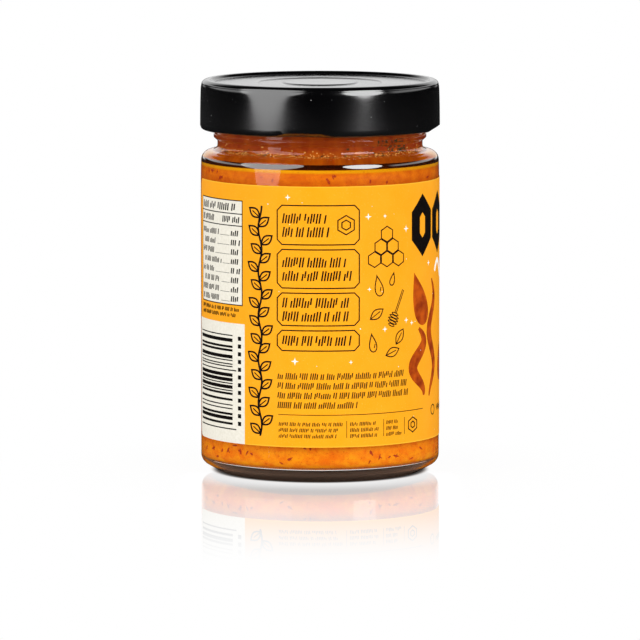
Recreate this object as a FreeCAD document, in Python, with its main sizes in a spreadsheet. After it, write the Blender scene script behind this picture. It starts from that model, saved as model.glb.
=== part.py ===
import FreeCAD, Part
import Sketcher
import os

# A straight-sided glass jar of cooking sauce, closed with a deep twist-off metal lid and
# wrapped in a paper label. Millimetres, +Z up, origin on the table under the jar's axis.
# Four sub-parts: glass_jar, sauce, lid and label.

SIZES = (
    # glass jar: body, base and shoulder
    ("jar_diameter", 72.6),
    ("jar_height", 118.35),
    ("glass_wall", 2.4),
    ("base_thickness", 4.5),
    ("heel_bevel_width", 5.8),
    ("heel_bevel_height", 3.2),
    ("heel_round", 3.0),
    ("stand_width", 2.4),
    ("punt_height", 1.2),
    ("punt_slope", 3.0),
    ("punt_round", 0.8),
    ("shoulder_width", 5.1),
    ("shoulder_rise", 0.5),
    ("shoulder_round", 3.2),
    # glass jar: neck, bead under the lid and rim
    ("neck_height", 20.15),
    ("neck_round", 1.0),
    ("bead_rise", 2.8),
    ("bead_taper", 1.0),
    ("bead_height", 1.2),
    ("bead_reach", 1.15),
    ("bead_round", 0.4),
    ("rim_round", 0.7),
    # glass jar: inside
    ("cavity_heel_round", 3.0),
    ("cavity_shoulder_drop", 4.3),
    ("cavity_shoulder_rise", 3.0),
    ("cavity_shoulder_round", 3.5),
    ("cavity_neck_round", 2.5),
    # glass jar: interrupted thread, one ridge over each lug of the lid
    ("thread_depth", 2.4),
    ("thread_height", 1.5),
    ("thread_flank", 0.4),
    ("thread_span", 70.0),
    ("thread_tilt", 2.2),
    # sauce
    ("fill_drop", 9.35),
    ("sauce_gap", 0.05),
    # lid
    ("lid_height", 15.1),
    ("sheet_gauge", 0.25),
    ("lid_round", 1.4),
    ("crest_width", 2.9),
    ("crest_round", 0.4),
    ("panel_sink", 0.9),
    ("panel_round", 0.3),
    ("panel_slope", 0.8),
    ("tray_diameter", 38.0),
    ("tray_drop", 0.25),
    ("button_diameter", 23.4),
    ("button_rise", 0.3),
    ("curl_diameter", 2.4),
    ("curl_bulge", 0.2),
    ("lug_count", 4),
    ("lug_height", 1.6),
    ("lug_bevel", 0.3),
    ("lug_half_angle", 15.8),
    ("lug_heading", -8.5),
    ("facet_width", 2.1),
    ("facet_height", 1.5),
    # how the lid clears the neck: curl round thread, lug round bead, lug under thread
    ("curl_clearance", 0.5),
    ("lug_clearance", 0.65),
    ("thread_clearance", 0.15),
    # label
    ("label_foot", 11.2),
    ("label_drop", 7.8),
    ("label_thickness", 0.12),
    ("label_wrap", 344.5),
    ("label_start", -171.5),
    ("label_corner", 2.5),
)

# Radii and levels that several outlines share, as expressions on the sheet. The wall gives
# the neck, the neck its bead and thread, and those the lid that goes round them.
JAR_RADIUS = "Sizes.jar_diameter / 2"
CAVITY_RADIUS = JAR_RADIUS + " - Sizes.glass_wall"
NECK_RADIUS = JAR_RADIUS + " - Sizes.shoulder_width"
BORE_RADIUS = NECK_RADIUS + " - Sizes.glass_wall"
BEAD_RADIUS = NECK_RADIUS + " + Sizes.bead_reach"
THREAD_RADIUS = NECK_RADIUS + " + Sizes.thread_depth"
CURL_RADIUS = THREAD_RADIUS + " + Sizes.curl_clearance + Sizes.curl_diameter"
LID_RADIUS = CURL_RADIUS + " - Sizes.curl_bulge"
SKIRT_BORE = LID_RADIUS + " - Sizes.sheet_gauge"
LUG_RADIUS = BEAD_RADIUS + " + Sizes.lug_clearance"

SHOULDER_TOP = "Sizes.jar_height - Sizes.neck_height"
SHOULDER_EDGE = SHOULDER_TOP + " - Sizes.shoulder_rise"
CAVITY_SHOULDER = SHOULDER_EDGE + " - Sizes.cavity_shoulder_drop"
CAVITY_NECK = CAVITY_SHOULDER + " + Sizes.cavity_shoulder_rise"
SAUCE_LEVEL = "Sizes.jar_height - Sizes.fill_drop"
PANEL_LEVEL = "Sizes.jar_height + Sizes.sheet_gauge"
CREST_LEVEL = PANEL_LEVEL + " + Sizes.panel_sink"
LID_FOOT = CREST_LEVEL + " - Sizes.lid_height"
CURL_LEVEL = LID_FOOT + " + Sizes.curl_diameter / 2"
LUG_TOP = LID_FOOT + " + Sizes.lug_height"
THREAD_LEVEL = (LUG_TOP + " + Sizes.thread_clearance + (" + THREAD_RADIUS + ")"
                " * sin(Sizes.lug_half_angle * 1 deg) * sin(Sizes.thread_tilt * 1 deg)")
LABEL_RADIUS = JAR_RADIUS + " + Sizes.label_thickness"
LABEL_TOP = SHOULDER_EDGE + " - Sizes.label_drop"


def make_sheet(doc):
    sheet = doc.addObject("Spreadsheet::Sheet", "Sizes")
    for row, (alias, value) in enumerate(SIZES, start=1):
        sheet.set("A%d" % row, alias)
        sheet.set("B%d" % row, str(value))
        sheet.setAlias("B%d" % row, alias)
    doc.recompute()


def make_body(doc, label, heading=None):
    """An empty body, turned about the jar's axis by a heading where one is given."""
    body = doc.addObject("PartDesign::Body", label)
    body.Label = label
    if heading:
        body.Placement = FreeCAD.Placement(FreeCAD.Vector(), FreeCAD.Vector(0, 0, 1), 1.0)
        body.setExpression("Placement.Rotation.Angle", heading)
    return body


def origin_part(body, role):
    return next(part for part in body.Origin.OriginFeatures if part.Role == role)


def make_sketch(body, name):
    """A sketch on the body's upright plane: its X is the radius, its Y the height."""
    sketch = body.newObject("Sketcher::SketchObject", name)
    sketch.AttachmentSupport = [(origin_part(body, "XZ_Plane"), "")]
    sketch.MapMode = "FlatFace"
    return sketch


def pin_point(sketch, geometry, point, radius, height):
    """Ties a point of a sketch to a radius and a height; None puts it on that axis."""
    for kind, axis, value in (("DistanceX", -2, radius), ("DistanceY", -1, height)):
        if value is None:
            on_axis = Sketcher.Constraint("PointOnObject", geometry, point, axis)
            sketch.addConstraint(on_axis)
        else:
            from_origin = Sketcher.Constraint(kind, -1, 1, geometry, point, 1.0)
            index = sketch.addConstraint(from_origin)
            sketch.setExpression("Constraints[%d]" % index, value)


def outline(body, name, corners):
    """A closed outline of straight lines through named corners given as (radius, height)."""
    sketch = make_sketch(body, name)
    count = len(corners)
    for index in range(count):
        after = (index + 1) % count
        start = FreeCAD.Vector(index, index * index, 0)
        end = FreeCAD.Vector(after, after * after, 0)
        sketch.addGeometry(Part.LineSegment(start, end), False)
    for index in range(count):
        after = (index + 1) % count
        sketch.addConstraint(Sketcher.Constraint("Coincident", index, 2, after, 1))
    for index, (radius, height) in enumerate(corners.values()):
        pin_point(sketch, index, 1, radius, height)
    return sketch


def revolve(body, kind, name, sketch, angle="360", midplane=False):
    """Turns a sketch about its own upright axis, to add or to cut."""
    feature = body.newObject(kind, name)
    feature.Profile = sketch
    feature.ReferenceAxis = (sketch, ["V_Axis"])
    feature.Midplane = midplane
    feature.setExpression("Angle", angle)
    body.Document.recompute()
    return feature


def ring_edges(shape, sketch, corners, wanted):
    """Names of the circular edges that an outline's wanted corners have swept."""
    names = []
    order = list(corners)
    for corner in wanted:
        point = sketch.Geometry[order.index(corner)].StartPoint
        for number, edge in enumerate(shape.Edges, start=1):
            if isinstance(edge.Curve, Part.Circle):
                miss = abs(edge.Curve.Radius - point.x) + abs(edge.Curve.Center.z - point.y)
                if miss < 1e-4:
                    names.append("Edge%d" % number)
    return names


def round_rings(body, base, sketch, corners, rounds):
    """Fillets the rings of an outline, one feature for each (size, corners) pair."""
    for size, wanted in rounds:
        edges = ring_edges(base.Shape, sketch, corners, wanted)
        fillet = body.newObject("PartDesign::Fillet", "_".join([body.Label, wanted[0]]))
        fillet.Base = (base, edges)
        fillet.setExpression("Radius", "Sizes." + size)
        body.Document.recompute()
        base = fillet
    return base


def repeat_round(body, name, features):
    """Repeats features evenly about the jar's axis, once for each lug."""
    pattern = body.newObject("PartDesign::PolarPattern", name)
    pattern.Originals = features
    pattern.Axis = (origin_part(body, "Z_Axis"), [""])
    pattern.Angle = 360
    pattern.setExpression("Occurrences", "Sizes.lug_count")
    body.Tip = pattern
    body.Document.recompute()


def cavity_outline(inset, level):
    """The corners of the jar's inside, drawn in by an inset and cut off at a level."""
    side = " - (" + inset + ")"
    return {
        "floor_centre": (None, "Sizes.base_thickness + (" + inset + ")"),
        "floor_edge": (CAVITY_RADIUS + side, "Sizes.base_thickness + (" + inset + ")"),
        "shoulder": (CAVITY_RADIUS + side, CAVITY_SHOULDER),
        "neck": (BORE_RADIUS + side, CAVITY_NECK),
        "brim": (BORE_RADIUS + side, level),
        "brim_centre": (None, level),
    }


CAVITY_ROUNDS = (
    ("cavity_heel_round", ["floor_edge"]),
    ("cavity_shoulder_round", ["shoulder"]),
    ("cavity_neck_round", ["neck"]),
)


def make_glass_jar(doc):
    """The jar: turned wall, heel, shoulder, neck, bead and rim, then its thread ridges."""
    body = make_body(doc, "glass_jar", "Sizes.lug_heading")
    stand_outside = JAR_RADIUS + " - Sizes.heel_bevel_width"
    stand_inside = stand_outside + " - Sizes.stand_width"
    bead_foot = SHOULDER_TOP + " + Sizes.bead_rise"
    bead_edge = bead_foot + " + Sizes.bead_taper"
    bead_top = bead_edge + " + Sizes.bead_height"
    corners = {
        "punt_centre": (None, "Sizes.punt_height"),
        "punt_edge": (stand_inside + " - Sizes.punt_slope", "Sizes.punt_height"),
        "stand_inside": (stand_inside, None),
        "stand_outside": (stand_outside, None),
        "heel": (JAR_RADIUS, "Sizes.heel_bevel_height"),
        "shoulder": (JAR_RADIUS, SHOULDER_EDGE),
        "neck": (NECK_RADIUS, SHOULDER_TOP),
        "bead_foot": (NECK_RADIUS, bead_foot),
        "bead_edge": (BEAD_RADIUS, bead_edge),
        "bead_top": (BEAD_RADIUS, bead_top),
        "finish": (NECK_RADIUS, bead_top),
        "rim": (NECK_RADIUS, "Sizes.jar_height"),
        "rim_centre": (None, "Sizes.jar_height"),
    }
    wall = outline(body, "glass_outside", corners)
    blank = revolve(body, "PartDesign::Revolution", "glass_blank", wall)
    round_rings(body, blank, wall, corners, (
        ("heel_round", ["heel"]),
        ("punt_round", ["punt_edge", "stand_inside"]),
        ("shoulder_round", ["shoulder"]),
        ("neck_round", ["neck"]),
        ("bead_round", ["bead_edge", "bead_top"]),
    ))
    inside = cavity_outline("0", "Sizes.jar_height")
    bore = outline(body, "glass_inside", inside)
    hollow = revolve(body, "PartDesign::Groove", "glass_hollow", bore)
    hollow = round_rings(body, hollow, bore, inside, CAVITY_ROUNDS)
    round_rings(body, hollow, wall, corners, (("rim_round", ["rim"]),))
    repeat_round(body, "thread_ridges", [make_thread_ridge(body)])
    return body


def make_thread_ridge(body):
    """One ridge: a short arc of a low bar, tipped so that it climbs as a thread does."""
    corners = {
        "root_foot": (NECK_RADIUS + " - Sizes.thread_flank", None),
        "foot": (THREAD_RADIUS + " - Sizes.thread_flank", None),
        "crest_foot": (THREAD_RADIUS, "Sizes.thread_flank"),
        "crest_top": (THREAD_RADIUS, "Sizes.thread_height - Sizes.thread_flank"),
        "top": (THREAD_RADIUS + " - Sizes.thread_flank", "Sizes.thread_height"),
        "root_top": (NECK_RADIUS + " - Sizes.thread_flank", "Sizes.thread_height"),
    }
    sketch = outline(body, "thread_section", corners)
    sketch.AttachmentOffset = FreeCAD.Placement(FreeCAD.Vector(), FreeCAD.Vector(1, 0, 0), 1.0)
    sketch.setExpression("AttachmentOffset.Rotation.Angle", "Sizes.thread_tilt")
    sketch.setExpression("AttachmentOffset.Base.y", THREAD_LEVEL)
    return revolve(body, "PartDesign::Revolution", "thread_ridge", sketch,
                   "Sizes.thread_span", midplane=True)


def make_sauce(doc):
    """The sauce: the jar's inside, a hair smaller all round, up to its level in the neck."""
    body = make_body(doc, "sauce")
    corners = cavity_outline("Sizes.sauce_gap", SAUCE_LEVEL)
    section = outline(body, "sauce_section", corners)
    fill = revolve(body, "PartDesign::Revolution", "sauce_fill", section)
    round_rings(body, fill, section, corners, CAVITY_ROUNDS)
    return body


def lid_top(drop):
    """The corners of the lid's stepped top from its centre out, lowered by a drop."""
    panel = PANEL_LEVEL + drop
    tray = panel + " - Sizes.tray_drop"
    button = tray + " + Sizes.button_rise"
    return {
        "button_centre": (None, button),
        "button_edge": ("Sizes.button_diameter / 2 - Sizes.panel_slope", button),
        "button_foot": ("Sizes.button_diameter / 2", tray),
        "tray_edge": ("Sizes.tray_diameter / 2 - Sizes.panel_slope", tray),
        "tray_brim": ("Sizes.tray_diameter / 2", panel),
    }


def make_lid(doc):
    """The lid: pressed sheet with a raised crest, a rolled curl and pressed-in lugs."""
    body = make_body(doc, "lid", "Sizes.lug_heading")
    panel_edge = LID_RADIUS + " - Sizes.crest_width"
    outside = lid_top("")
    outside.update({
        "panel_edge": (panel_edge, PANEL_LEVEL),
        "crest_inside": (panel_edge, CREST_LEVEL),
        "crest_outside": (LID_RADIUS, CREST_LEVEL),
        "skirt_foot": (LID_RADIUS, CURL_LEVEL),
        "foot_centre": (None, CURL_LEVEL),
    })
    shell = outline(body, "lid_outside", outside)
    revolve(body, "PartDesign::Revolution", "lid_blank", shell)
    gauge = " - Sizes.sheet_gauge"
    inside = lid_top(gauge)
    inside.update({
        "panel_edge": (panel_edge + " + Sizes.sheet_gauge", PANEL_LEVEL + gauge),
        "crest_inside": (panel_edge + " + Sizes.sheet_gauge", CREST_LEVEL + gauge),
        "crest_outside": (SKIRT_BORE, CREST_LEVEL + gauge),
        "skirt_foot": (SKIRT_BORE, CURL_LEVEL),
        "foot_centre": (None, CURL_LEVEL),
    })
    bore = outline(body, "lid_inside", inside)
    hollow = revolve(body, "PartDesign::Groove", "lid_hollow", bore)
    hollow = round_rings(body, hollow, bore, inside, (
        ("lid_round - Sizes.sheet_gauge", ["crest_outside"]),
        ("crest_round - Sizes.sheet_gauge", ["crest_inside"]),
        ("panel_round + Sizes.sheet_gauge", ["panel_edge"]),
    ))
    round_rings(body, hollow, shell, outside, (
        ("lid_round", ["crest_outside"]),
        ("crest_round", ["crest_inside"]),
        ("panel_round", ["panel_edge"]),
    ))
    make_curl(body)
    repeat_round(body, "lugs", [make_lug(body), make_facet(body)])
    return body


def make_curl(body):
    """The rolled edge round the foot of the skirt, standing a little proud of it."""
    sketch = make_sketch(body, "curl_section")
    sketch.addGeometry(Part.Circle(FreeCAD.Vector(10, 10, 0), FreeCAD.Vector(0, 0, 1), 1.0))
    pin_point(sketch, 0, 3, CURL_RADIUS + " - Sizes.curl_diameter / 2", CURL_LEVEL)
    index = sketch.addConstraint(Sketcher.Constraint("Diameter", 0, 2.0))
    sketch.setExpression("Constraints[%d]" % index, "Sizes.curl_diameter")
    return revolve(body, "PartDesign::Revolution", "curl", sketch)


def make_lug(body):
    """One lug: the curl pressed inwards over a short arc, to catch under a thread ridge."""
    corners = {
        "tip_foot": (LUG_RADIUS, LID_FOOT + " + Sizes.lug_bevel"),
        "tip_top": (LUG_RADIUS, LUG_TOP + " - Sizes.lug_bevel"),
        "top": (LUG_RADIUS + " + Sizes.lug_bevel", LUG_TOP),
        "root_top": (SKIRT_BORE, LUG_TOP),
        "root_foot": (SKIRT_BORE, LID_FOOT),
        "foot": (LUG_RADIUS + " + Sizes.lug_bevel", LID_FOOT),
    }
    sketch = outline(body, "lug_section", corners)
    return revolve(body, "PartDesign::Revolution", "lug", sketch,
                   "2 * Sizes.lug_half_angle", midplane=True)


def make_facet(body):
    """The flat that pressing a lug leaves on the outer lower corner of the curl."""
    slope = "Sizes.facet_height / Sizes.facet_width"
    corners = {
        "shoulder": (CURL_RADIUS, LID_FOOT + " + Sizes.facet_height"),
        "foot": (CURL_RADIUS + " - 2 * Sizes.facet_width",
                 LID_FOOT + " + Sizes.facet_height - 2 * Sizes.facet_width * " + slope),
        "clear_foot": (CURL_RADIUS + " + Sizes.facet_width",
                       LID_FOOT + " + Sizes.facet_height - 2 * Sizes.facet_width * " + slope),
        "clear_top": (CURL_RADIUS + " + Sizes.facet_width",
                      LID_FOOT + " + Sizes.facet_height + Sizes.facet_width * " + slope),
    }
    sketch = outline(body, "facet_section", corners)
    facet = body.newObject("PartDesign::Pocket", "facet")
    facet.Profile = sketch
    facet.SideType = "Symmetric"
    facet.setExpression("Length", LID_RADIUS)
    body.Document.recompute()
    return facet


def make_label(doc):
    """The label: a thin band bonded to the wall, open at the back, its corners rounded."""
    body = make_body(doc, "label", "Sizes.label_start")
    section = outline(body, "label_section", {
        "inner_foot": (JAR_RADIUS, "Sizes.label_foot"),
        "outer_foot": (LABEL_RADIUS, "Sizes.label_foot"),
        "outer_top": (LABEL_RADIUS, LABEL_TOP),
        "inner_top": (JAR_RADIUS, LABEL_TOP),
    })
    band = revolve(body, "PartDesign::Revolution", "label_band", section, "Sizes.label_wrap")
    thickness = dict(SIZES)["label_thickness"]
    corner_edges = []
    for number, edge in enumerate(band.Shape.Edges, start=1):
        if isinstance(edge.Curve, Part.Line) and abs(edge.Length - thickness) < 1e-4:
            corner_edges.append("Edge%d" % number)
    fillet = body.newObject("PartDesign::Fillet", "label_corners")
    fillet.Base = (band, corner_edges)
    fillet.setExpression("Radius", "Sizes.label_corner")
    doc.recompute()
    return body


def check(doc, bodies):
    """Stops before anything is written if a feature has failed or a solid isn't sound."""
    for item in doc.Objects:
        faults = {"Invalid", "Error"} & set(item.State)
        if faults:
            raise RuntimeError("%s is %s" % (item.Name, ", ".join(sorted(faults))))
    for body in bodies:
        shape = body.Shape
        if shape.isNull() or not shape.isValid() or len(shape.Solids) != 1:
            raise RuntimeError("%s is not one valid solid" % body.Label)


def main():
    doc = FreeCAD.newDocument("SauceJar")
    make_sheet(doc)
    bodies = [make_glass_jar(doc), make_sauce(doc), make_lid(doc), make_label(doc)]
    doc.recompute()
    check(doc, bodies)
    os.makedirs("parts", exist_ok=True)
    for body in bodies:
        body.Shape.exportStep("parts/%s.step" % body.Label)
        box = body.Shape.optimalBoundingBox()
        print("%-10s %10.1f mm3  z %.2f to %.2f  across %.2f"
              % (body.Label, body.Shape.Volume, box.ZMin, box.ZMax, box.XLength))


main()
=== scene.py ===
"""Looks of a jar of hot honey pasta sauce: glass, filling, lid, label and its print."""
import math
import random

import bmesh
import bpy
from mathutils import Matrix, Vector


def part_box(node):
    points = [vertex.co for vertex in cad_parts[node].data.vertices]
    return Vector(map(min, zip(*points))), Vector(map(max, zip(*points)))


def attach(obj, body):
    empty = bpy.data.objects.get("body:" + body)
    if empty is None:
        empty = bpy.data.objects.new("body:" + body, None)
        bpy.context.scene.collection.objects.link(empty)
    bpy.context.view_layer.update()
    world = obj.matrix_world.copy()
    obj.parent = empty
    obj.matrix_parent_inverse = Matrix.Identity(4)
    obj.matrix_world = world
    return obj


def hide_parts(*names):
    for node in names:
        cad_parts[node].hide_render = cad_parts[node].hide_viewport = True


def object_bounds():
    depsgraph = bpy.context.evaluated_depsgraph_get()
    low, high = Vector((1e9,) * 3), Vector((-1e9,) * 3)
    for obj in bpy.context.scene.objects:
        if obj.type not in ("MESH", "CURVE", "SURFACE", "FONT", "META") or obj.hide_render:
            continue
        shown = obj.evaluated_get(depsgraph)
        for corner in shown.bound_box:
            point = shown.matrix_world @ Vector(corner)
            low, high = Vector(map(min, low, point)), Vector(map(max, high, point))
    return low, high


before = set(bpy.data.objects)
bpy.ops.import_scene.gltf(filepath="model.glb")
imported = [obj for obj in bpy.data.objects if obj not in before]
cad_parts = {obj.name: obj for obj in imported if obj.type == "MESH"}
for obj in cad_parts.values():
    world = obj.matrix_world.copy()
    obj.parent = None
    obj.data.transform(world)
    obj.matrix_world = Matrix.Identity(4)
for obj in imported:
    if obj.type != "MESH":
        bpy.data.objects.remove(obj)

cad_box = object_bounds()

MM = 0.001
FULL_TURN = 2 * math.pi

# Levels of the jar, in millimetres above the table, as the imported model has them
JAR_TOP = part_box("glass_jar")[1][2] / MM
FLOOR_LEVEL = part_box("sauce")[0][2] / MM - 0.05
SAUCE_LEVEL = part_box("sauce")[1][2] / MM
LID_FOOT, LID_TOP = [corner[2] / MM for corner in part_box("lid")]
LABEL_FOOT, LABEL_TOP = [corner[2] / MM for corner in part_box("label")]
SHOULDER_EDGE = LABEL_TOP + 7.8
SHOULDER_TOP = SHOULDER_EDGE + 0.5
CAVITY_SHOULDER = SHOULDER_EDGE - 4.3

# Radii, in millimetres
JAR_RADIUS = 36.3
CAVITY_RADIUS = JAR_RADIUS - 2.4
NECK_RADIUS = JAR_RADIUS - 5.1
BORE_RADIUS = NECK_RADIUS - 2.4
BEAD_RADIUS = NECK_RADIUS + 1.15
THREAD_RADIUS = NECK_RADIUS + 2.4
LID_RADIUS = 36.3
CURL_RADIUS = LID_RADIUS + 0.2
LABEL_RADIUS = JAR_RADIUS + 0.12
SHEET = 0.25

# Headings round the jar, in degrees from the front towards the right-hand side
LABEL_LEFT = -81.5
LABEL_RIGHT = 263.0
SEAMS = (-26.3, 153.7)
LUGS = [-8.5 + 90 * turn for turn in range(4)]

CHANCE = random.Random(7)


# ---------------------------------------------------------------- shader sheets


class Value:
    """An output of a shader node; arithmetic on it adds Math nodes."""

    def __init__(self, sheet, socket):
        self.sheet = sheet
        self.socket = socket

    def math(self, operation, *terms):
        return self.sheet.node("ShaderNodeMath", {"operation": operation}, dict(enumerate(terms)))

    def __add__(self, other):
        return self.math("ADD", self, other)

    def __radd__(self, other):
        return self.math("ADD", other, self)

    def __sub__(self, other):
        return self.math("SUBTRACT", self, other)

    def __rsub__(self, other):
        return self.math("SUBTRACT", other, self)

    def __mul__(self, other):
        return self.math("MULTIPLY", self, other)

    def __rmul__(self, other):
        return self.math("MULTIPLY", other, self)

    def __truediv__(self, other):
        return self.math("DIVIDE", self, other)

    def __abs__(self):
        return self.math("ABSOLUTE", self)


class Sheet:
    """The node tree of one material or of the world."""

    def __init__(self, owner):
        owner.use_nodes = True
        self.tree = owner.node_tree
        self.tree.nodes.clear()

    def node(self, kind, settings=None, sockets=None, output=0):
        made = self.tree.nodes.new(kind)
        for name, value in (settings or {}).items():
            setattr(made, name, value)
        for name, value in (sockets or {}).items():
            if isinstance(value, Value):
                self.tree.links.new(value.socket, made.inputs[name])
            else:
                made.inputs[name].default_value = value
        return Value(self, made.outputs[output]) if made.outputs else None

    def place(self):
        """Where a point of the surface is, in metres."""
        return self.node("ShaderNodeTexCoord", output="Object")

    def axis(self, name):
        """One of X, Y and Z, in millimetres."""
        return self.node("ShaderNodeSeparateXYZ", None, {0: self.place()}, name) * (1 / MM)

    def reach(self):
        """How far a point is from the jar's axis, in millimetres."""
        across, along = self.axis("X"), self.axis("Y")
        square = across * across + along * along
        return square.math("SQRT", square)

    def noise(self, size, detail=2.0, rough=0.5):
        """Cloudy noise from 0 to 1 whose patches are about a size in millimetres across."""
        sockets = {"Vector": self.place(), "Scale": 1 / (size * MM), "Detail": detail,
                   "Roughness": rough}
        return self.node("ShaderNodeTexNoise", None, sockets)

    def ramp(self, value, low, high):
        """A smooth climb from 0 to 1 as a value goes from low to high."""
        sockets = {"Value": value, "From Min": low, "From Max": high}
        return self.node("ShaderNodeMapRange", {"interpolation_type": "SMOOTHSTEP"}, sockets)

    def band(self, value, low, high, blur):
        """1 between two values and 0 outside them, with blurred ends."""
        rise = self.ramp(value, low - blur, low + blur)
        return rise * (1 - self.ramp(value, high - blur, high + blur))

    def blend(self, factor, first, second):
        """One colour going over into another."""
        return self.node("ShaderNodeMix", {"data_type": "RGBA"}, {0: factor, 6: first, 7: second}, 2)

    def bump(self, height, depth):
        """A relief of a depth in millimetres, at half strength."""
        sockets = {"Height": height, "Distance": depth * MM, "Strength": 0.5}
        return self.node("ShaderNodeBump", None, sockets)

    def ray(self, kind):
        """1 where a ray of one kind arrives, and 0 for the others."""
        return self.node("ShaderNodeLightPath", output="Is " + kind + " Ray")

    def surface(self, **sockets):
        named = {name.replace("_", " "): value for name, value in sockets.items()}
        return self.node("ShaderNodeBsdfPrincipled", None, named)

    def mix(self, factor, first, second):
        """One shader going over into another."""
        return self.node("ShaderNodeMixShader", None, {0: factor, 1: first, 2: second})

    def finish(self, shader, kind="Material"):
        self.node("ShaderNodeOutput" + kind, None, {"Surface": shader})


def tint(red, green, blue):
    """A screen colour of 0 to 255 as the linear colour that nodes take."""
    shares = [channel / 255 for channel in (red, green, blue)]
    return tuple(s / 12.92 if s < 0.04045 else ((s + 0.055) / 1.055) ** 2.4 for s in shares) + (1,)


def new_sheet(name):
    material = bpy.data.materials.new(name)
    return material, Sheet(material)


# ---------------------------------------------------------------- meshes


def around(radius, turn, height):
    """The point at a radius, a turn in radians from the front and a height, from millimetres."""
    return (radius * math.sin(turn) * MM, -radius * math.cos(turn) * MM, height * MM)


def rounded(corners, step=math.radians(10), hold=0.2):
    """Points along a path of (x, y, rounding) corners, with an arc for each rounding."""
    path = []
    for index, (x, y, size) in enumerate(corners):
        here = Vector((x, y))
        if size == 0 or index in (0, len(corners) - 1):
            path.append((x, y))
            continue
        back = Vector(corners[index - 1][:2]) - here
        ahead = Vector(corners[index + 1][:2]) - here
        half = back.angle(ahead) / 2
        reach = size / math.tan(half)
        middle = (back.normalized() + ahead.normalized()).normalized() * (size / math.sin(half))
        centre = here + middle
        start = here + back.normalized() * reach - centre
        sweep = math.pi - 2 * half
        side = 1 if back.x * ahead.y - back.y * ahead.x < 0 else -1
        count = max(2, math.ceil(sweep / step))
        if back.length > reach + 3 * hold:
            path.append(tuple(here + back.normalized() * (reach + hold)))
        for number in range(count + 1):
            swing = side * sweep * number / count
            spoke = Vector((start.x * math.cos(swing) - start.y * math.sin(swing),
                            start.x * math.sin(swing) + start.y * math.cos(swing)))
            path.append(tuple(centre + spoke))
        if ahead.length > reach + 3 * hold:
            path.append(tuple(here + ahead.normalized() * (reach + hold)))
    return path


def add_turned(shape, path, turns, closed):
    """Turns a path of (radius, height) points through the given turns, all round if closed."""
    rings = []
    for radius, height in path:
        spots = turns if radius > 1e-6 else turns[:1]
        rings.append([shape.verts.new(around(radius, turn, height)) for turn in spots])
    pairs = len(turns) if closed else len(turns) - 1
    for below, above in zip(rings, rings[1:]):
        for index in range(pairs):
            after = (index + 1) % len(turns)
            corners = [below[index % len(below)], below[after % len(below)],
                       above[after % len(above)], above[index % len(above)]]
            distinct = list(dict.fromkeys(corners))
            shape.faces.new(distinct)
    return rings


def add_bar(shape, section, start, end, steps, climb=0.0):
    """A closed bar: a section of (radius, height) corners swept over an arc, climbing."""
    turns = [start + (end - start) * number / steps for number in range(steps + 1)]
    rings = []
    for number, turn in enumerate(turns):
        rise = climb * (number / steps - 0.5)
        rings.append([shape.verts.new(around(r, turn, z + rise)) for r, z in section])
    for here, there in zip(rings, rings[1:]):
        for index in range(len(section)):
            after = (index + 1) % len(section)
            shape.faces.new([here[index], here[after], there[after], there[index]])
    shape.faces.new(rings[0])
    shape.faces.new(rings[-1])


def leaned(x, y, along, over, lean):
    """A point moved from (x, y) along a lean in radians and across it."""
    return (x + along * math.cos(lean) - over * math.sin(lean),
            y + along * math.sin(lean) + over * math.cos(lean))


def even_turns(count):
    return [FULL_TURN * number / count for number in range(count)]


def make_piece(name, shape, material, node=None, sharp=math.radians(32)):
    """Makes a finished mesh into a piece that rides on the jar."""
    bmesh.ops.recalc_face_normals(shape, faces=shape.faces)
    mesh = bpy.data.meshes.new(name)
    shape.to_mesh(mesh)
    shape.free()
    mesh.shade_smooth()
    mesh.set_sharp_from_angle(angle=sharp)
    mesh.materials.append(material)
    piece = bpy.data.objects.new(name, mesh)
    bpy.context.scene.collection.objects.link(piece)
    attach(piece, "root")
    if node:
        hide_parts(node)


def cavity_path(grow, level):
    """The jar's inside from its floor centre up to a level, moved out into the glass."""
    return [
        (0, FLOOR_LEVEL - grow, 0),
        (CAVITY_RADIUS + grow, FLOOR_LEVEL - grow, 3.0),
        (CAVITY_RADIUS + grow, CAVITY_SHOULDER, 3.5),
        (BORE_RADIUS + grow, CAVITY_SHOULDER + 3.0, 2.5),
        (BORE_RADIUS + grow, level, 0),
    ]


# ---------------------------------------------------------------- glass


def glass_finish():
    """Clear glass with faint ripples and smears, and a painted dark line of shade round it under the
    shoulder, where its coat is stronger.
    """
    material, sheet = new_sheet("clear_glass")
    ripple = sheet.noise(14, 1.5)
    smear = sheet.ramp(sheet.noise(5, 3.0), 0.45, 0.8)
    outer = sheet.ramp(sheet.reach(), CAVITY_RADIUS + 0.6, CAVITY_RADIUS + 1.0)
    # Painted shade: a dark line is painted into the glass colour under the shoulder, and the
    # stronger coat there gives it real highlights
    line = sheet.band(sheet.axis("Z"), SHOULDER_EDGE - 2.95, SHOULDER_EDGE - 1.35, 0.1) * outer
    glass = sheet.surface(
        Base_Color=sheet.blend(line, (0.965, 0.985, 0.975, 1), (0.006, 0.004, 0.002, 1)),
        Roughness=0.03 + smear * 0.04,
        IOR=1.5,
        Transmission_Weight=1.0,
        Coat_Weight=line,
        Coat_IOR=1.9,
        Coat_Roughness=0.03,
        Normal=sheet.bump(ripple, 0.09),
    )
    open_glass = sheet.node("ShaderNodeBsdfTransparent", None, {"Color": (0.94, 0.96, 0.95, 1)})
    shadow = sheet.ray("Shadow")
    lit = shadow.math("MAXIMUM", shadow, sheet.ray("Diffuse"))
    sheet.finish(sheet.mix(lit, glass, open_glass))
    return material


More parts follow.
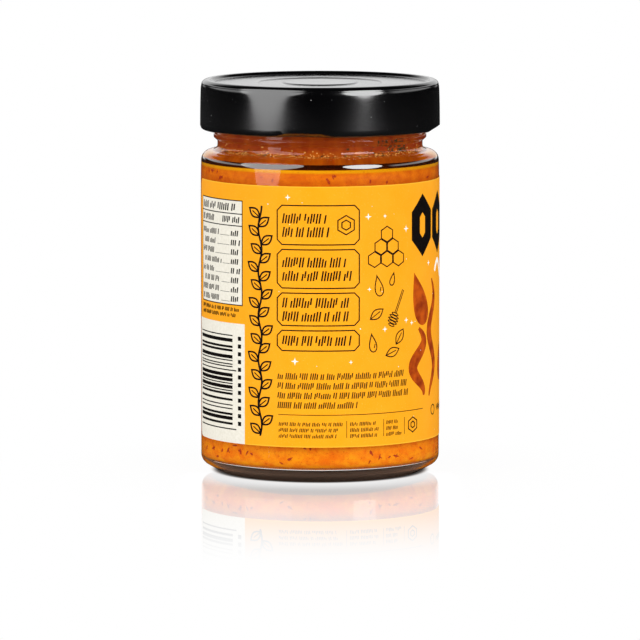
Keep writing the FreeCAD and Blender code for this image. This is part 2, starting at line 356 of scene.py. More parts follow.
def make_glass():
    shape = bmesh.new()
    stand = JAR_RADIUS - 5.8
    bead_foot = SHOULDER_TOP + 2.8
    bead_top = bead_foot + 2.2
    outside = [
        (0, 1.2, 0),
        (stand - 5.4, 1.2, 0.8),
        (stand - 2.4, 0, 0.8),
        (stand, 0, 0.25),
        (JAR_RADIUS, 3.2, 3.0),
        (JAR_RADIUS, LABEL_TOP - 2, 0),
        (JAR_RADIUS - 0.02, LABEL_TOP, 0),
        (JAR_RADIUS - 0.05, LABEL_TOP + 2, 0),
        (JAR_RADIUS - 0.18, SHOULDER_EDGE, 3.0),
        (NECK_RADIUS, SHOULDER_TOP, 1.7),
        (NECK_RADIUS, bead_foot, 0),
        (BEAD_RADIUS, bead_foot + 1.0, 0.4),
        (BEAD_RADIUS, bead_top, 0.4),
        (NECK_RADIUS, bead_top, 0),
        (NECK_RADIUS, JAR_TOP, 0.7),
        (BORE_RADIUS, JAR_TOP, 0.7),
    ]
    inside = cavity_path(0, JAR_TOP)
    inside.reverse()
    path = rounded(outside + inside[1:])
    ridge = 0.32 / JAR_RADIUS
    turns = even_turns(288)
    for seam in SEAMS:
        middle = math.radians(seam) % FULL_TURN
        turns = [t for t in turns if abs(t - middle) > 1.6 * ridge]
        turns += [middle - ridge, middle, middle + ridge]
    turns.sort()
    rings = add_turned(shape, path, turns, True)
    for seam in SEAMS:
        place = turns.index(math.radians(seam) % FULL_TURN)
        for (radius, height), ring in zip(path, rings):
            if radius > JAR_RADIUS - 3 and height > 2.5 and height < SHOULDER_EDGE + 1:
                ring[place].co.xy *= 1 + 0.06 / JAR_RADIUS
    flank = 0.4
    for lug in LUGS:
        low = LID_FOOT + 2.2
        section = [
            (NECK_RADIUS - flank, low),
            (THREAD_RADIUS - flank, low),
            (THREAD_RADIUS, low + flank),
            (THREAD_RADIUS, low + 1.5 - flank),
            (THREAD_RADIUS - flank, low + 1.5),
            (NECK_RADIUS - flank, low + 1.5),
        ]
        middle = math.radians(lug)
        half = math.radians(35)
        add_bar(shape, section, middle - half, middle + half, 24, 1.5)
    make_piece("jar_glass", shape, glass_finish(), "glass_jar")


# ---------------------------------------------------------------- sauce


def sauce_finish():
    """Thick orange sauce, mottled and flecked, with painted shade under the shoulder, in the neck
    and underneath, and a painted bright line below the shoulder.
    """
    material, sheet = new_sheet("pasta_sauce")
    height = sheet.axis("Z")
    cloud = sheet.noise(3.2, 4.0, rough=0.6)
    grain = sheet.noise(0.5, 2.0)
    patch = sheet.ramp(cloud, 0.3, 0.7)
    body = sheet.blend(patch, tint(240, 112, 0), tint(255, 152, 8))
    # Painted shade: the neck and foot tints are darker sauce for the parts under the lid
    neck = sheet.blend(patch, tint(148, 46, 0), tint(182, 74, 0))
    foot = sheet.blend(patch, tint(158, 60, 0), tint(196, 90, 2))
    strip = sheet.blend(patch, tint(222, 96, 0), tint(240, 122, 0))
    colour = sheet.blend(sheet.ramp(height, 60, 80), body, strip)
    # Painted highlight: a bright yellow line is painted round the sauce just below the shoulder
    glow = sheet.ramp(height, 93.2, 94.1) * (1 - sheet.ramp(height, 94.3, 94.6))
    colour = sheet.blend(glow, colour, tint(255, 170, 8))
    # Painted shade: the sauce darkens from the shoulder up into the neck, under the lid
    colour = sheet.blend(sheet.ramp(height, 94.5, 95.0), colour, foot)
    colour = sheet.blend(sheet.ramp(height, 98.6, 100.2), colour, neck)
    fleck = sheet.ramp(grain, 0.58, 0.74)
    colour = sheet.blend(fleck * 0.5, colour, tint(196, 62, 0))
    # Painted shade: the sauce's underside is greyed, a little lighter towards its rim
    under = sheet.ramp(height, FLOOR_LEVEL + 0.12, FLOOR_LEVEL)
    rim = sheet.ramp(sheet.reach(), 30, 32)
    colour = sheet.blend(under, colour, sheet.blend(rim, tint(148, 116, 98), tint(168, 118, 92)))
    sauce = sheet.surface(
        Base_Color=colour,
        Roughness=0.45 + grain * 0.2,
        Specular_IOR_Level=0.1,
        Normal=sheet.bump(cloud, 0.12),
    )
    sheet.finish(sauce)
    return material


def core_radius(height):
    """The radius of the sauce against the glass at a height."""
    for (r0, z0), (r1, z1) in zip(CORE_PATH, CORE_PATH[1:]):
        if z0 <= height <= z1 and z1 > z0:
            return r0 + (r1 - r0) * (height - z0) / (z1 - z0)
    return BORE_RADIUS


CORE_PATH = rounded(cavity_path(0.04, SAUCE_LEVEL))


def make_sauce():
    shape = bmesh.new()
    add_turned(shape, CORE_PATH + [(0, SAUCE_LEVEL)], even_turns(192), True)
    make_piece("sauce_fill", shape, sauce_finish(), "sauce")


# ---------------------------------------------------------------- flat shapes wrapped on


class Shapes:
    """Flat shapes in millimetres: along the jar's girth from its front, and up from its foot."""

    def __init__(self):
        self.outlines = []

    def area(self, corners):
        twice = 0
        for (x0, y0), (x1, y1) in zip(corners, corners[1:] + corners[:1]):
            twice += x0 * y1 - x1 * y0
        self.outlines.append(list(corners) if twice > 0 else list(reversed(corners)))

    def bar(self, left, right, foot, top):
        self.area([(left, foot), (right, foot), (right, top), (left, top)])

    def disc(self, x, y, radius, count=18):
        self.area(polygon(x, y, radius, radius, count))

    def stroke(self, points, width, closed=False):
        """A line through points, mitred at its corners; width is one size or one a point."""
        count = len(points)
        widths = width if isinstance(width, list) else [width] * count
        sides = []
        for index in range(count):
            here = Vector(points[index])
            before = Vector(points[index - 1]) if closed or index else None
            after = Vector(points[(index + 1) % count]) if closed or index < count - 1 else None
            if before is None:
                before = here - (after - here)
            if after is None:
                after = here + (here - before)
            back = (here - before).normalized()
            ahead = (after - here).normalized()
            across = (back + ahead).normalized()
            across = Vector((-across.y, across.x))
            square = Vector((-ahead.y, ahead.x))
            reach = widths[index] / 2 / max(0.35, across.dot(square))
            sides.append((tuple(here + across * reach), tuple(here - across * reach)))
        pairs = list(zip(sides, sides[1:] + sides[:1])) if closed else list(zip(sides, sides[1:]))
        for (left0, right0), (left1, right1) in pairs:
            self.area([right0, right1, left1, left0])

    def words(self, left, right, foot, height, weight=0.3, pitch=0.72):
        """Stand-in print: leaning strokes in groups as long as words."""
        x = left
        while x < right - pitch:
            for _ in range(CHANCE.randint(2, 8)):
                if x > right - pitch:
                    break
                tall = height * CHANCE.choice((1, 1, 0.86, 0.7))
                low = foot + (height - tall) * CHANCE.choice((0, 0, 1))
                lean = 0.16 * tall
                self.area([(x, low), (x + weight, low), (x + weight + lean, low + tall),
                           (x + lean, low + tall)])
                x += pitch
            x += pitch * 0.9


def polygon(x, y, half_width, half_height, count, turn=0.0):
    """Corners of an evenly divided oval."""
    corners = []
    for number in range(count):
        angle = turn + FULL_TURN * number / count
        corners.append((x + half_width * math.cos(angle), y + half_height * math.sin(angle)))
    return corners


def rounded_box(left, right, foot, top, sizes):
    """A box with its corners rounded, sizes from the lower left round by the lower right."""
    corners = [(left, foot), (right, foot), (right, top), (left, top)]
    path = []
    for index, size in enumerate(sizes):
        if size == 0:
            path.append(corners[index])
            continue
        three = [corners[index - 1] + (0,), corners[index] + (size,),
                 corners[(index + 1) % 4] + (0,)]
        path += rounded(three, hold=1000)[1:-1]
    return path


def wrap(name, shapes, inner, outer, material, node=None, width=1.2):
    """Bends flat shapes round the jar as closed plates between two radii."""
    flat = bmesh.new()
    for corners in shapes.outlines:
        flat.faces.new([flat.verts.new((x, y, 0)) for x, y in corners])
    bmesh.ops.remove_doubles(flat, verts=flat.verts, dist=1e-4)
    bmesh.ops.triangulate(flat, faces=flat.faces)
    xs = [vert.co.x for vert in flat.verts]
    cut = math.floor(min(xs) / width + 1) * width
    while cut < max(xs):
        near = [f for f in flat.faces
                if min(v.co.x for v in f.verts) < cut < max(v.co.x for v in f.verts)]
        parts = set(near)
        for face in near:
            parts.update(face.edges)
            parts.update(face.verts)
        bmesh.ops.bisect_plane(flat, geom=list(parts), plane_co=(cut, 0, 0),
                               plane_no=(1, 0, 0), dist=1e-5)
        cut += width
    bmesh.ops.dissolve_degenerate(flat, dist=1e-5, edges=flat.edges)
    flat.verts.index_update()
    shape = bmesh.new()
    layers = []
    for radius in (inner, outer):
        layer = []
        for vert in flat.verts:
            place = radius(vert.co.y) if callable(radius) else radius
            turn = vert.co.x / LABEL_RADIUS
            layer.append(shape.verts.new(around(place, turn, vert.co.y)))
        layers.append(layer)
    low, high = layers
    for face in flat.faces:
        order = [vert.index for vert in face.verts]
        shape.faces.new([high[index] for index in order])
        shape.faces.new([low[index] for index in reversed(order)])
        for loop in face.loops:
            if loop.edge.is_boundary:
                start, end = loop.vert.index, loop.link_loop_next.vert.index
                shape.faces.new([low[start], low[end], high[end], high[start]])
    flat.free()
    make_piece(name, shape, material, node)


# ---------------------------------------------------------------- flakes, herbs, bubbles


def chip_finish(name, light, dark, rough):
    material, sheet = new_sheet(name)
    colour = sheet.blend(sheet.noise(0.9, 3.0), tint(*dark), tint(*light))
    sheet.finish(sheet.surface(
        Base_Color=colour,
        Roughness=rough + sheet.noise(0.4) * 0.2,
        Specular_IOR_Level=0.2,
        Normal=sheet.bump(sheet.noise(0.35), 0.05),
    ))
    return material


def add_chip(shapes, x, y, long, wide, lean):
    """A torn scrap: an uneven oval drawn out along its lean."""
    corners = []
    for number in range(9):
        angle = FULL_TURN * number / 9
        swell = CHANCE.uniform(0.65, 1.2)
        along = long * swell * math.cos(angle)
        over = wide * swell * math.sin(angle)
        corners.append(leaned(x, y, along, over, lean))
    shapes.area(corners)


def make_bits():
    """Chilli flakes, herb scraps and bubbles against the glass, above and below the label."""
    left = math.radians(LABEL_LEFT) * LABEL_RADIUS
    girth = FULL_TURN * LABEL_RADIUS
    flakes = Shapes()
    herbs = Shapes()
    bubbles = Shapes()
    for _ in range(70):
        x = left + CHANCE.uniform(0, girth)
        y = CHANCE.choice((CHANCE.uniform(5.6, 10.8), CHANCE.uniform(5.6, 10.8),
                           CHANCE.uniform(90.4, 93)))
        long = CHANCE.uniform(0.5, 1.25)
        lean = CHANCE.uniform(0, math.pi)
        add_chip(flakes, x, y, long, CHANCE.uniform(0.2, 0.45), lean)
        if CHANCE.random() < 0.3:
            add_chip(flakes, x + 0.3, y, long * 0.7, 0.2, lean + 1.4)
    for number in range(330):
        x = left + CHANCE.uniform(0, girth)
        y = 96.2 + abs(CHANCE.gauss(0, 1.3))
        if number % 4 == 0:
            x = CHANCE.gauss(32, 5)
            y = CHANCE.uniform(97.5, 102.5)
        add_chip(herbs, x, y, CHANCE.uniform(0.25, 0.8), CHANCE.uniform(0.14, 0.34),
                 CHANCE.uniform(-0.4, 0.4))
    for _ in range(700):
        x = left + CHANCE.uniform(0, girth)
        y = 96.0 + abs(CHANCE.gauss(0, 1.8))
        bubbles.disc(x, y, CHANCE.uniform(0.12, 0.3), 8)
    for name, shapes, finish in (
        ("chilli_flakes", flakes, chip_finish("chilli_flake", (206, 70, 0), (150, 34, 0), 0.5)),
        ("herb_scraps", herbs, chip_finish("herb_scrap", (84, 62, 10), (26, 20, 6), 0.6)),
        ("oil_bubbles", bubbles, chip_finish("oil_bubble", (255, 206, 112), (236, 158, 44), 0.3)),
    ):
        wrap(name, shapes, lambda y: core_radius(y) - 0.15, lambda y: core_radius(y) + 0.12,
             finish)


# ---------------------------------------------------------------- lid


def lacquer_finish():
    """Black lacquer on tinplate: a fine pebbled gloss with a little dust."""
    material, sheet = new_sheet("black_lacquer")
    pebble = sheet.noise(0.45, 2.0)
    drift = sheet.noise(9, 2.0)
    dust = sheet.ramp(sheet.noise(0.45, 0.0), 0.885, 0.91)
    worn = 1 - sheet.ramp(sheet.axis("Z"), LID_FOOT, LID_TOP - 1)
    colour = sheet.blend(dust, tint(1, 1, 2), tint(150, 150, 150))
    sheet.finish(sheet.surface(
        Base_Color=colour,
        Roughness=0.1 + drift * 0.05 + worn * 0.08 + dust * 0.4,
        IOR=2.0,
        Normal=sheet.bump(pebble, 0.006),
    ))
    return material


def make_lid():
    """A pressed lid: its top is rounded twice into the skirt, whose foot is rolled inwards."""
    shape = bmesh.new()
    panel = JAR_TOP + SHEET
    tray = panel - 0.25
    crest = LID_RADIUS - 2.9
    curl = LID_FOOT + 1.2
    top = [
        (0, tray + 0.3, 0),
        (10.9, tray + 0.3, 0.4),
        (11.7, tray, 0.4),
        (18.2, tray, 0.4),
        (19.0, panel, 0.4),
    ]
    outside = top + [
        (crest - 0.9, panel, 0.8),
        (crest + 0.1, LID_TOP, 0.6),
    ]
    tight = 1.64
    wide = 4.5
    skirt = LID_TOP - 2.55
    for lean in range(90, 22, -6):
        angle = math.radians(lean)
        outside.append((crest + 1.0 + tight * math.cos(angle),
                        LID_TOP - tight + tight * math.sin(angle), 0))
    for lean in (23, 20, 17, 14, 11, 8, 5, 3):
        angle = math.radians(lean)
        outside.append((LID_RADIUS - 0.03 - wide + wide * math.cos(angle),
                        LID_TOP - 2.76 + wide * math.sin(angle), 0))
    for number in range(1, 13):
        share = number / 12
        outside.append((CURL_RADIUS - 0.02 - 0.2 * (1 - share) ** 2,
                        skirt + (curl - skirt) * share, 0))
    bead = 1.2
    roll = []
    for number in range(11):
        angle = math.radians(-8 - 22 * number)
        roll.append((CURL_RADIUS - bead + bead * math.cos(angle), curl + bead * math.sin(angle), 0))
    inside = [
        (LID_RADIUS - SHEET, curl + 1.3, 0),
        (LID_RADIUS - SHEET, LID_TOP - SHEET, 1.15),
        (crest + SHEET, LID_TOP - SHEET, 0.15),
        (crest + SHEET, panel - SHEET, 0.55),
    ]
    inside += [(x, y - SHEET, size) for x, y, size in reversed(top)]
    path = rounded(outside) + rounded(roll)[1:] + rounded(inside)
    add_turned(shape, path, even_turns(288), True)
    # A facet over each lug: what lies past a sloping plane is pressed back onto it
    slope = Vector((1.5, -2.1)).normalized()
    for lug in LUGS:
        turn = math.radians(lug)
        out = Vector((math.sin(turn), -math.cos(turn), 0))
        for vert in shape.verts:
            reach = vert.co.dot(out) / MM - CURL_RADIUS
            over = reach * slope.x + (vert.co.z / MM - LID_FOOT - 1.5) * slope.y
            if over > 0 and vert.co.z / MM < LID_FOOT + 3:
                vert.co -= out * (over * slope.x * MM)
                vert.co.z -= over * slope.y * MM
    for lug in LUGS:
        half = math.radians(15.8)
        tip = BEAD_RADIUS + 0.65
        section = [
            (tip, LID_FOOT + 0.45),
            (tip, LID_FOOT + 1.3),
            (tip + 0.3, LID_FOOT + 1.6),
            (LID_RADIUS - 1.1, LID_FOOT + 1.6),
            (LID_RADIUS - 1.6, LID_FOOT + 0.2),
            (tip + 0.3, LID_FOOT + 0.15),
        ]
        add_bar(shape, section, math.radians(lug) - half, math.radians(lug) + half, 14)
    make_piece("lid_shell", shape, lacquer_finish(), "lid", math.radians(40))


# ---------------------------------------------------------------- label and its print


def paper_finish():
    """Warm yellow-orange paper with fine pale specks, and a painted highlight along its cut edges.
    """
    material, sheet = new_sheet("label_paper")
    height = sheet.axis("Z")
    speck = sheet.ramp(sheet.noise(0.34, 1.0), 0.62, 0.78)
    cloud = sheet.noise(6, 3.0)
    colour = sheet.blend(cloud, tint(249, 161, 12), tint(255, 172, 34))
    colour = sheet.blend(speck * 0.3, colour, tint(255, 200, 96))
    # Painted highlight: the paper is lighter within a few tenths of a millimetre of its top and foot
    # edges
    edge = 1 - sheet.band(height, LABEL_FOOT + 0.3, LABEL_TOP - 0.3, 0.1)
    colour = sheet.blend(edge * 0.5, colour, tint(255, 205, 60))
    sheet.finish(sheet.surface(
        Base_Color=colour,
        Roughness=0.4 + cloud * 0.08,
        Specular_IOR_Level=0.07,
        Normal=sheet.bump(sheet.noise(0.25), 0.008),
    ))
    return material


def ink_finish(name, first, second, grain=0.8):
    material, sheet = new_sheet(name)
    colour = sheet.blend(sheet.ramp(sheet.noise(grain, 3.0), 0.3, 0.7), tint(*first), tint(*second))
    sheet.finish(sheet.surface(
        Base_Color=colour,
        Roughness=0.45 + sheet.noise(0.5) * 0.1,
        Specular_IOR_Level=0.07,
        Normal=sheet.bump(sheet.noise(0.25), 0.004),
    ))
    return material


def drop_outline(x, y, size, lean=0.0):
    """A honey drop, pointed at its top."""
    corners = []
    for number in range(26):
        angle = FULL_TURN * number / 26
        wide = size * 0.62 * math.sin(angle) * math.sin(angle / 2) ** 1.3
        tall = size * math.cos(angle)
        corners.append(leaned(x, y, wide, tall, lean))
    return corners


def leaf_outline(x, y, long, wide, lean):
    """A pointed leaf growing from a point along its lean."""
    corners = []
    for number in range(18):
        share = number / 18
        along = long * (1 - abs(1 - 2 * share))
        over = wide * math.sin(FULL_TURN * share)
        corners.append(leaned(x, y, along, over, lean))
    return corners


def add_star(shapes, x, y, size):
    corners = []
    for number in range(8):
        reach = size if number % 2 == 0 else size * 0.3
        angle = FULL_TURN * number / 8
        corners.append((x + reach * math.cos(angle), y + reach * math.sin(angle)))
    shapes.area(corners)


def cut_frame(left, right, foot, top, cut):
    """A frame's path with its corners cut off."""
    return [(left + cut, foot), (right - cut, foot), (right, foot + cut), (right, top - cut),
            (right - cut, top), (left + cut, top), (left, top - cut), (left, foot + cut)]


def print_table(black, cream):
    """A ruled facts table on a pale panel."""
    left, right, foot, top = -48.7, -25.4, 53.2, 84.8
    cream.bar(left, right, foot, top)
    black.stroke([(left, foot), (right, foot), (right, top), (left, top)], 0.3, True)
    black.bar(left, right, 80.65, 80.95)
    black.bar(left, right, 77.0, 77.3)
    black.words(left + 0.9, right - 2.2, 81.6, 2.2, 0.58, 1.0)
    black.words(left + 0.9, left + 10.5, 78.0, 1.9, 0.48, 0.8)
    black.words(right - 9.0, right - 0.7, 78.0, 1.9, 0.48, 0.8)
    for row in range(8):
        base = 74.0 - row * 2.85
        start = left + 0.9 + (1.6 if row in (1, 3, 5) else 0)
        stop = start + CHANCE.uniform(7, 14)
        black.words(start, stop, base, 1.7, 0.44, 0.74)
        black.bar(stop + 0.3, right - 5.4, base + 0.05, base + 0.17)
        black.words(right - 4.9, right - 0.7, base, 1.7, 0.5, 0.85)
    for row in range(2):
        black.words(-48.4, -26.4 - 1.5 * row, 51.2 - row * 1.75, 1.15, 0.34, 0.54)


def print_stripes(black, cream):
    """Plain stripes of uneven weight on a pale panel that runs off the label's corner."""
    left = math.radians(LABEL_LEFT) * LABEL_RADIUS + 0.01
    foot = LABEL_FOOT + 0.01
    cream.area(rounded_box(left, -24.5, foot, 47.6, (2.5, 0, 0, 0)))
    place = 15.2
    number = 0
    while place < 44.6:
        weight = CHANCE.choice((0.36, 0.36, 0.7, 1.05))
        start = -29.5 if number % 13 else -27.9
        black.bar(left + 1.7, start, place, place + weight)
        place += weight + CHANCE.choice((0.4, 0.4, 0.75, 1.1))
        number += 1
    for number in range(12):
        low = 16.6 + number * 2.35
        black.bar(-27.2, -25.9, low, low + 1.25)


def print_garland(black):
    """A leafy garland up the label."""
    middle = -18.85
    stem = [(middle + 0.6 * math.sin(step * 0.55), 14.2 + step * 1.16) for step in range(61)]
    black.stroke(stem, 0.62)
    for number in range(25):
        low = 15.0 + number * 2.72
        side = 1 if number % 2 else -1
        x = middle + 0.6 * math.sin((low - 14.2) / 1.16 * 0.55)
        lean = math.pi / 2 - side * 0.92
        black.stroke(leaf_outline(x, low, 4.5, 1.25, lean), 0.52, True)
        black.stroke([(x, low), (x + side * 2.6, low + 1.95)], 0.36)


def print_steps(black, white):
    """Framed steps with stand-in print, a hexagon in the first and stars around them."""
    left, right = -13.1, 12.0
    for foot, top, rows in ((72.4, 84.2, 2), (59.3, 70.9, 2), (48.0, 57.8, 2), (40.4, 46.5, 1)):
        black.stroke(cut_frame(left, right, foot, top, 1.5), 0.36, True)
        high = (top + foot) / 2 + (0.5 if rows == 2 else -1.5)
        for row in range(rows):
            short = 8.2 if top > 80 else CHANCE.uniform(0.2, 4.0)
            black.words(left + 1.5, right - 1.0 - short, high - row * 4.1, 3.0, 0.46, 0.86)
    for size in (2.9, 1.5):
        black.stroke(polygon(7.9, 78.3, size, size, 6, math.pi / 6), 0.36, True)
    for x, y, size in ((-9.8, 86.6, 0.9), (14.9, 80.6, 1.1), (15.3, 58.7, 0.7), (-7.6, 37.2, 1.2),
                       (9.4, 36.9, 0.7)):
        add_star(white, x, y, size)


def print_dipper(black, x, y, lean, size):
    """A honey dipper in line: a thin handle and a ridged oval head."""
    ahead = Vector((math.cos(lean), math.sin(lean)))
    over = Vector((-ahead.y, ahead.x))
    foot = Vector((x, y))
    for side in (-0.16, 0.16):
        start = foot + over * side * size
        black.stroke([tuple(start), tuple(start + ahead * 4.2 * size)], 0.28)
    for ridge in range(5):
        centre = foot - ahead * (0.28 + ridge * 0.5) * size
        half = (0.72, 1.0, 1.08, 0.98, 0.64)[ridge] * size
        loop = []
        for number in range(16):
            angle = FULL_TURN * number / 16
            spot = centre + over * half * math.cos(angle) + ahead * 0.2 * size * math.sin(angle)
            loop.append(tuple(spot))
        black.stroke(loop, 0.28, True)


def print_motifs(black, white):
    """Line drawings of honeycomb, drops, leaves and a dipper beside the steps."""
    cell = 2.5
    for column, row in ((0, 0), (1, 0), (2, 0), (0, 1), (1, 1), (0, 2)):
        x = 17.0 + (column + row / 2) * cell * 1.74
        y = 67.6 + row * cell * 1.5
        black.stroke(polygon(x, y, cell * 0.94, cell * 0.94, 6, math.pi / 6), 0.34, True)
    for x, y, size, lean in ((18.4, 59.6, 3.1, 0.2), (23.4, 61.4, 1.9, -0.25),
                             (16.4, 42.4, 2.7, 0.15)):
        black.stroke(drop_outline(x, y, size, lean), 0.34, True)
        black.stroke([(x + 0.5, y - size * 0.55), (x + 0.8, y - size * 0.1)], 0.28)
    for x, y, lean in ((15.6, 49.6, 0.6), (21.0, 38.4, 0.35), (24.8, 41.6, 1.0)):
        black.stroke(leaf_outline(x, y, 5.2, 1.35, lean), 0.34, True)
        tip = (x + 4.0 * math.cos(lean), y + 4.0 * math.sin(lean))
        black.stroke([(x, y), tip], 0.28)
    print_dipper(black, 24.6, 51.2, 1.15, 1.75)
    for x, y, size in ((28.8, 76.3, 1.1), (20.6, 46.4, 0.9), (28.9, 48.6, 0.9), (20.6, 80.6, 0.7)):
        add_star(white, x, y, size)


def print_notes(black):
    """The block of stand-in print under the steps, a rule and three columns of small print."""
    for row, right in enumerate((28.4, 29.2, 30.0, 12.0)):
        black.words(-13.1, right, 31.7 - row * 2.92, 1.95, 0.34, 0.64)
    black.bar(-12.8, 37.3, 20.9, 21.1)
    for left, right, rows in ((-12.7, 7.2, 3), (9.1, 19.4, 3), (21.1, 27.3, 3)):
        for row in range(rows):
            black.words(left, right - CHANCE.uniform(0, 2.5), 17.6 - row * 1.8, 1.15, 0.26, 0.5)
    for x in (8.1, 20.2, 28.2):
        black.bar(x - 0.08, x + 0.08, 14.0, 19.2)
    for size in (2.3, 1.0):
        black.stroke(polygon(32.0, 16.6, size, size, 6, math.pi / 6), 0.36, True)
    black.stroke(polygon(44.4, 19.9, 1.5, 1.5, 16), 0.34, True)
    black.words(48.2, 75.0, 19.2, 1.9, 0.42, 0.8)


def swash(x, low, high, sway, waves, thick):
    """Points and widths of a poured stream: it sways, swells in the middle and thins out."""
    points, widths = [], []
    for step in range(41):
        share = step / 40
        points.append((x + sway * math.sin(share * waves * math.pi), high + (low - high) * share))
        widths.append(thick * (0.22 + 0.78 * math.sin(math.pi * share) ** 0.8))
    return points, widths


def print_front(black, white, brown):
    """The main face: bold honeycomb cells, a pale ribbon, honey drops and poured streams."""
    centre = 61.6
    for number in range(5):
        x = centre + (number - 2) * 12.3
        black.stroke(polygon(x, 76.8, 4.1, 6.7, 6, math.pi / 6), 4.1, True)
    ribbon = []
    for step in range(49):
        share = step / 48
        ribbon.append((46.4 + 30.6 * share, 62.6 + 2.6 * math.sin(share * 5.5 * math.pi)))
    white.stroke(ribbon, 1.5)
    white.disc(46.4, 62.6, 0.75)
    white.disc(77.0, ribbon[-1][1], 0.75)
    brown.area(drop_outline(35.4, 54.6, 8.6, 0.34))
    brown.area(drop_outline(84.0, 52.0, 7.4, -0.3))
    brown.area(drop_outline(52.4, 34.0, 6.0, 0.1))
    for x, low, high, sway, waves, thick in (
        (35.0, 25.0, 45.6, 2.9, 2.6, 4.2),
        (43.2, 24.4, 60.0, 1.9, 3.4, 3.2),
        (90.0, 26.0, 45.0, 2.2, 2.4, 3.0),
    ):
        brown.stroke(*swash(x, low, high, sway, waves, thick))
    for column in range(4):
        for row in range(2):
            x = 60.5 + column * 8.2 + row * 4.1
            brown.stroke(polygon(x, 36.6 + row * 7.1, 3.6, 3.6, 6, math.pi / 6), 1.9, True)
    for x, y, size in ((40.8, 65.0, 0.9), (31.4, 47.6, 0.8), (88.6, 63.9, 1.1), (70.5, 56.4, 0.9)):
        add_star(white, x, y, size)


def print_far_side(black, cream, white):
    """The side away from the front: a framed note and small marks."""
    black.stroke(cut_frame(101.0, 158.5, 40.0, 84.0, 2.2), 0.4, True)
    for row in range(9):
        right = 155.0 - CHANCE.uniform(0, 9)
        black.words(104.2, right, 79.0 - row * 4.3, 2.5, 0.44, 1.0)
    cream.area(rounded_box(101.0, 158.5, 15.0, 35.6, (1.5, 1.5, 1.5, 1.5)))
    for row in range(4):
        black.words(104.0, 155.5 - CHANCE.uniform(0, 12), 31.0 - row * 4.4, 2.0, 0.4, 0.84)
    for x, y, size in ((97.4, 80.2, 1.0), (96.6, 49.0, 0.8), (161.5, 60.0, 0.9)):
        add_star(white, x, y, size)


def make_label():
    paper = Shapes()
    left = math.radians(LABEL_LEFT) * LABEL_RADIUS
    right = math.radians(LABEL_RIGHT) * LABEL_RADIUS
    paper.area(rounded_box(left, right, LABEL_FOOT, LABEL_TOP, (2.5, 2.5, 2.5, 2.5)))
    wrap("label_band", paper, JAR_RADIUS, LABEL_RADIUS, paper_finish(), "label")
    black, cream, white, brown = Shapes(), Shapes(), Shapes(), Shapes()
    print_table(black, cream)
    print_stripes(black, cream)
    print_garland(black)
    print_steps(black, white)
    print_motifs(black, white)
    print_notes(black)
    print_front(black, white, brown)
    print_far_side(black, cream, white)
    for _ in range(60):
        x = CHANCE.uniform(left + 2, right - 2)
        y = CHANCE.uniform(LABEL_FOOT + 2, LABEL_TOP - 2)
        white.disc(x, y, CHANCE.uniform(0.1, 0.2), 7)
    cream_ink = ink_finish("cream_ink", (231, 226, 211), (239, 234, 221))
    black_ink = ink_finish("black_ink", (10, 6, 5), (20, 14, 12))
    white_ink = ink_finish("white_ink", (250, 246, 236), (255, 252, 245))
    brown_ink = ink_finish("chestnut_ink", (140, 44, 0), (196, 82, 2), grain=3.4)
    under = LABEL_RADIUS - 0.04
    wrap("label_panels", cream, under, LABEL_RADIUS + 0.012, cream_ink)
    wrap("label_figures", brown, under, LABEL_RADIUS + 0.012, brown_ink)
    wrap("label_glints", white, under, LABEL_RADIUS + 0.018, white_ink)
    wrap("label_lines", black, under, LABEL_RADIUS + 0.024, black_ink)


# ---------------------------------------------------------------- studio


def softbox(name, heading, elevation, half_angle, brightness):
    """A round lamp seen from the jar at a heading and an elevation, under a half angle."""
    turn = math.radians(heading)
    lift = math.radians(elevation)
    distance = 1.5
    aim = Vector((0, 0, 0.1))
    away = Vector((math.sin(turn) * math.cos(lift), -math.cos(turn) * math.cos(lift),
                   math.sin(lift)))
    lamp = bpy.data.lights.new(name, "AREA")
    lamp.shape = "DISK"
    lamp.size = 2 * distance * math.tan(math.radians(half_angle))
    lamp.energy = brightness * math.pi * math.pi * (lamp.size / 2) ** 2
    stand = bpy.data.objects.new(name, lamp)
    stand.location = aim + away * distance
    stand.rotation_euler = (-away).to_track_quat("-Z", "Y").to_euler()
    bpy.context.scene.collection.objects.link(stand)


def make_world():
    """White to the camera; to gloss, white behind the jar and low at its sides only."""
    world = bpy.data.worlds.new("studio")
    bpy.context.scene.world = world
    sheet = Sheet(world)
    way = sheet.node("ShaderNodeTexCoord", output="Generated")
    sides = {name: sheet.node("ShaderNodeSeparateXYZ", None, {0: way}, name) for name in "XYZ"}
    behind = sheet.ramp(sides["Y"] - abs(sides["X"]) * 1.6, -0.1, 0.4)
    low = sheet.ramp(sides["Z"], 0.0, 0.06) * (1 - sheet.ramp(sides["Z"], 0.4, 0.75))
    aside = sheet.ramp(sides["Y"], -0.35, -0.15) * (1 - behind)
    aside = aside * sheet.ramp(sides["Z"], 0.12, 0.17) * (1 - sheet.ramp(sides["Z"], 0.3, 0.4))
    gloss = 0.008 + behind * low * 1.05 + aside
    through = 0.04 + sheet.ramp(sides["Y"], -0.1, 0.2) * 0.9
    plain = 0.17
    level = plain + (gloss - plain) * sheet.ray("Glossy")
    level = level + (through - level) * sheet.ray("Transmission")
    level = level + (1 - level) * sheet.ray("Camera")
    sky = sheet.node("ShaderNodeBackground", None, {"Color": (1, 1, 1, 1), "Strength": level})
    sheet.finish(sky, "World")


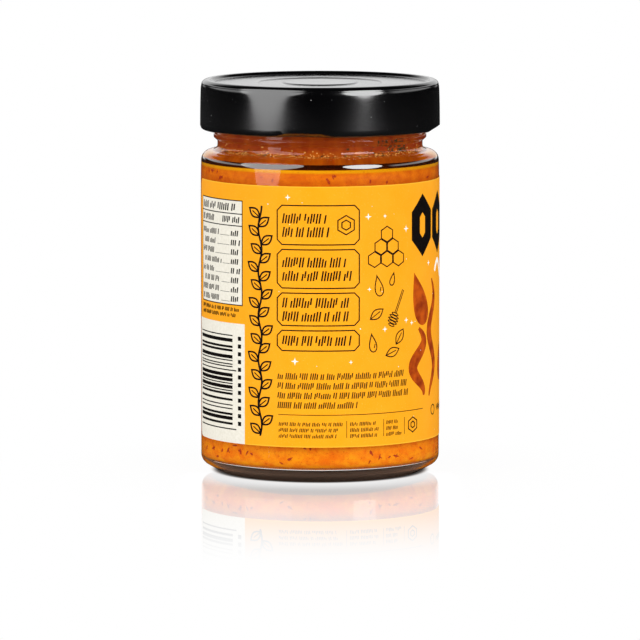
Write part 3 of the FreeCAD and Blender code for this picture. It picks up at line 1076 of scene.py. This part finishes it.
def floor_finish():
    """A white gloss table: it mirrors the jar's foot, less and less further from it, and has a
    painted shadow ring round the foot.
    """
    material, sheet = new_sheet("white_table")
    away = sheet.reach()
    white = sheet.node("ShaderNodeBsdfDiffuse", None, {"Color": (0.98, 0.98, 0.98, 1)})
    glow = sheet.node("ShaderNodeEmission", None, {"Color": (1, 1, 1, 1), "Strength": 1.0})
    lit = sheet.ramp(away, 30.5, 34) * 0.97 + sheet.ramp(away, 34, 100) * 0.03
    dark = sheet.node("ShaderNodeEmission", None, {"Color": (0, 0, 0, 1), "Strength": 0.0})
    mirror = sheet.surface(
        Base_Color=(0, 0, 0, 1),
        Specular_IOR_Level=0.0,
        Emission_Color=(1, 1, 1, 1),
        Emission_Strength=1.0,
        Coat_Weight=1.0,
        Coat_IOR=1.5,
        Coat_Roughness=0.015,
    )
    # Painted shadow: the table turns dark in a ring round the jar's foot
    contact_shade = 0.85 - sheet.ramp(away, 31, 33.5) * 0.85
    ahead = sheet.ramp(0 - sheet.axis("Y") / away, 0.1, 0.4)
    ahead = ahead * (1 - sheet.ramp(abs(sheet.axis("X")), 37, 44))
    fade = (1 - sheet.ramp(away, 45, 205)) * (0.3 + 0.7 * sheet.ramp(away, 33, 54)) * ahead
    table = sheet.mix(lit, white, glow)
    table = sheet.mix(fade, table, mirror)
    table = sheet.mix(contact_shade, table, dark)
    bent = sheet.ray("Transmission")
    near = 1 - sheet.ramp(away, 44, 70)
    hidden = sheet.ray("Glossy") * (1 - bent) * 0.985 + bent * near * 0.93
    sheet.finish(sheet.mix(hidden, table, dark))
    return material


def make_floor():
    mesh = bpy.data.meshes.new("table")
    corners = [(-4, -0.4, 0), (4, -0.4, 0), (4, 5, 0), (-4, 5, 0)]
    mesh.from_pydata(corners, [], [(0, 1, 2, 3)])
    mesh.materials.append(floor_finish())
    floor = bpy.data.objects.new("table", mesh)
    bpy.context.scene.collection.objects.link(floor)


def make_camera():
    """A long lens a little above the jar's middle, at its front."""
    aim = Vector((0, 0, 0.383 * cad_box[1][2]))
    lift = math.radians(6.33)
    distance = 2.0827
    camera = bpy.data.objects.new("camera", bpy.data.cameras.new("camera"))
    camera.location = aim + Vector((0, -math.cos(lift), math.sin(lift))) * distance
    camera.rotation_euler = (math.pi / 2 - lift, 0, 0)
    camera.data.sensor_width = 36
    camera.data.lens = 18 / math.tan(math.radians(5.370 / 2))
    bpy.context.scene.collection.objects.link(camera)
    bpy.context.scene.camera = camera


make_camera()
make_glass()
make_sauce()
make_bits()
make_lid()
make_label()
make_floor()
make_world()
softbox("left_softbox", -52, 25.5, 31.5, 2.2)
softbox("right_softbox", 43.5, 20.5, 19.5, 5.6)
bpy.context.scene.view_settings.view_transform = "Standard"
